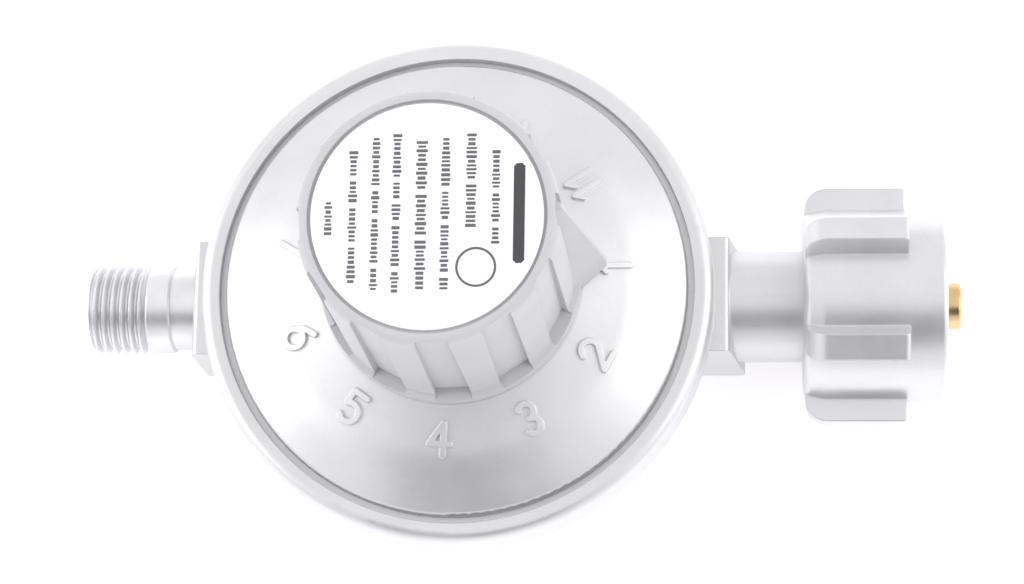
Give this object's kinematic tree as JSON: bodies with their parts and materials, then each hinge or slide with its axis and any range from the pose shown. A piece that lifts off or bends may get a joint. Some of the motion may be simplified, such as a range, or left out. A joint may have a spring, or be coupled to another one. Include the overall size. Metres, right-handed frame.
{
  "type": "gas pressure regulator",
  "caption": "Round crimped low-pressure regulator with a threaded outlet, an inlet union nut with a brass spigot, and a tall stepped dial knob with a pointer.",
  "frame": {"origin": "centre of the flat underside of the lower body, on the knob's axis", "axes": "+Z along the knob's axis, +X towards the inlet union nut, -X towards the outlet thread"},
  "size_m": [0.1283, 0.0744, 0.0691],
  "materials": {
    "silver_paint": "satin silver-grey paint on a zinc die casting",
    "nut_metal": "satin silver-grey finish on a zinc die casting",
    "silver_steel": "turned and zinc-plated",
    "zinc_steel": "zinc-plated",
    "spring_steel": "bright drawn wire",
    "brass": "turned",
    "sintered_bronze": "porous",
    "grey_plastic": "moulded, fine matt grain",
    "white_acetal": "moulded",
    "label_film": "printed film with plain grey bars in place of text",
    "rubber_black": "moulded nitrile"
  },
  "bodies": {
    "body": {"lower_body": "silver_paint", "cover": "silver_paint", "vent_filter": "sintered_bronze", "diaphragm": "rubber_black", "lever_pin": "spring_steel", "valve_orifice": "brass", "inlet_nipple": "brass", "inlet_filter": "sintered_bronze", "inlet_o_ring": "rubber_black", "inlet_gasket": "rubber_black", "outlet_nipple": "silver_steel", "outlet_o_ring": "rubber_black"},
    "dial": {"knob": "grey_plastic", "knob_screw": "zinc_steel", "knob_label": "label_film", "adjusting_spindle": "brass", "thrust_washer": "white_acetal", "spindle_clip": "spring_steel", "detent_ball": "spring_steel", "detent_spring": "spring_steel"},
    "seat": {"spring_seat": "white_acetal", "main_spring": "spring_steel"},
    "stack": {"diaphragm_plate": "zinc_steel", "diaphragm_washer": "zinc_steel", "diaphragm_stem": "brass", "relief_spring": "spring_steel", "relief_spring_cup": "zinc_steel"},
    "arm": {"lever": "zinc_steel"},
    "valve": {"valve_carrier": "white_acetal", "valve_pad": "rubber_black"},
    "washer": {"nut_washer": "zinc_steel"},
    "nut": {"union_nut": "nut_metal"}
  },
  "joints": [
    {"name": "dial_turn", "type": "hinge", "parent": "body", "child": "dial", "pos_m": [0, 0, 0.03], "axis": [0, 0, 1], "range_deg": [-327.27, 0]},
    {"name": "seat_climb", "type": "slide", "parent": "body", "child": "seat", "axis": [0, 0, 1], "range_m": [-0.0055, 0.0001], "deforming": ["main_spring"]},
    {"name": "diaphragm_travel", "type": "slide", "parent": "body", "child": "stack", "axis": [0, 0, 1], "range_m": [0, 0.0025], "stiffness_N_per_m": 700, "springref_m": -0.004, "deforming": ["diaphragm"]},
    {"name": "lever_tilt", "type": "hinge", "parent": "body", "child": "arm", "pos_m": [0.016, 0, 0.0052], "axis": [0, 1, 0], "range_deg": [-0.2, 9.2]},
    {"name": "valve_close", "type": "slide", "parent": "body", "child": "valve", "axis": [1, 0, 0], "range_m": [-0.00002, 0.00085]},
    {"name": "nut_slide", "type": "slide", "parent": "body", "child": "washer", "axis": [1, 0, 0], "range_m": [-0.008, 0]},
    {"name": "nut_turn", "type": "hinge", "parent": "washer", "child": "nut", "pos_m": [0.06, 0, 0.0105], "axis": [1, 0, 0], "continuous": true}
  ],
  "couplings": [
    {"joint": "seat_climb", "follows": "dial_turn", "m_per_rad": 0.00095493},
    {"joint": "lever_tilt", "follows": "diaphragm_travel", "rad_per_m": 62.5},
    {"joint": "valve_close", "follows": "diaphragm_travel", "ratio": 0.33125}
  ]
}
